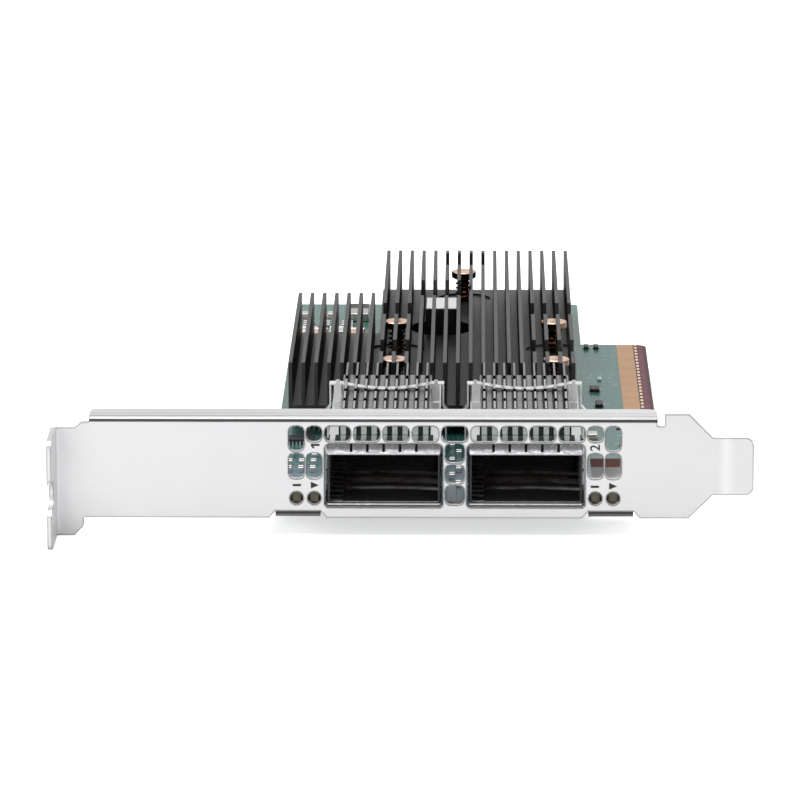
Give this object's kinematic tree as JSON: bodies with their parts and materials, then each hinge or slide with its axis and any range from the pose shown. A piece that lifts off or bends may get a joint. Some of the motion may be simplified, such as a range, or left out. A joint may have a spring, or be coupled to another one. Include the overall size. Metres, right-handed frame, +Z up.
{
  "type": "ethernet adapter card",
  "caption": "Network adapter card: circuit board with edge contacts, slotted steel bracket, two sheet-metal port cages under floating heat sinks, and a large finned heat sink.",
  "frame": {"origin": "on the bracket's outer face, at the middle of its length and at the height of the board's underside", "axes": "+X along the bracket towards its narrow end, +Y from the bracket's outer face along the board, +Z up from the board's component side"},
  "size_m": [0.1209, 0.179, 0.0216],
  "materials": {
    "bracket": "satin nickel plate",
    "circuit_board": "teal-green solder mask over glass-fibre laminate",
    "edge_contacts": "gold plate",
    "port_cage": "bright tin plate",
    "spring_collar": "bright nickel plate",
    "connector": "black moulded",
    "port_contacts": "gold plate",
    "port_heat_sink": "clear anodised",
    "clip": "bright spring steel",
    "main_heat_sink": "black anodised",
    "spring_pin": "copper-coloured plate",
    "pin_spring": "drawn wire",
    "screw": "zinc plate",
    "chip": "green chip carrier",
    "chip_lid": "nickel plate",
    "thermal_pad": "soft filled pad",
    "coil": "black moulded",
    "label": "blank white label",
    "lamp": "amber clear lens",
    "ceramic_capacitor": "tan",
    "resistor": "black top",
    "bulk_capacitor": "black moulded",
    "integrated_circuit": "black moulded",
    "crystal": "bright metal can"
  },
  "bodies": {
    "card": {"bracket": "bracket", "circuit_board": "circuit_board", "edge_contacts_top": "edge_contacts", "edge_contacts_bottom": "edge_contacts", "main_heat_sink": "main_heat_sink", "spring_pins": "spring_pin", "pin_springs": "pin_spring", "bracket_screws": "screw", "controller_chip": "chip", "controller_lid": "chip_lid", "thermal_pad": "thermal_pad", "power_coil": "coil", "coil_label": "label", "status_lamps": "lamp", "ceramic_capacitors": "ceramic_capacitor", "resistors": "resistor", "bulk_capacitors": "bulk_capacitor", "voltage_regulators": "integrated_circuit", "low_coils": "coil", "memory_chip": "integrated_circuit", "crystal_cans": "crystal", "solder_side_capacitors": "ceramic_capacitor", "strip_chips": "integrated_circuit", "interface_chip": "integrated_circuit", "port_1_cage": "port_cage", "port_1_spring_collar": "spring_collar", "port_1_connector": "connector", "port_1_contacts": "port_contacts", "port_1_clip": "clip", "port_2_cage": "port_cage", "port_2_spring_collar": "spring_collar", "port_2_connector": "connector", "port_2_contacts": "port_contacts", "port_2_clip": "clip"},
    "port_1_heat_sink": {"port_1_heat_sink": "port_heat_sink"},
    "port_2_heat_sink": {"port_2_heat_sink": "port_heat_sink"}
  },
  "joints": [
    {"name": "port_1_lift", "type": "slide", "parent": "card", "child": "port_1_heat_sink", "axis": [0, 0, 1], "range_m": [0, 0.0004], "stiffness_N_per_m": 2000, "deforming": ["port_1_clip"]},
    {"name": "port_2_lift", "type": "slide", "parent": "card", "child": "port_2_heat_sink", "axis": [0, 0, 1], "range_m": [0, 0.0004], "stiffness_N_per_m": 2000, "deforming": ["port_2_clip"]}
  ]
}
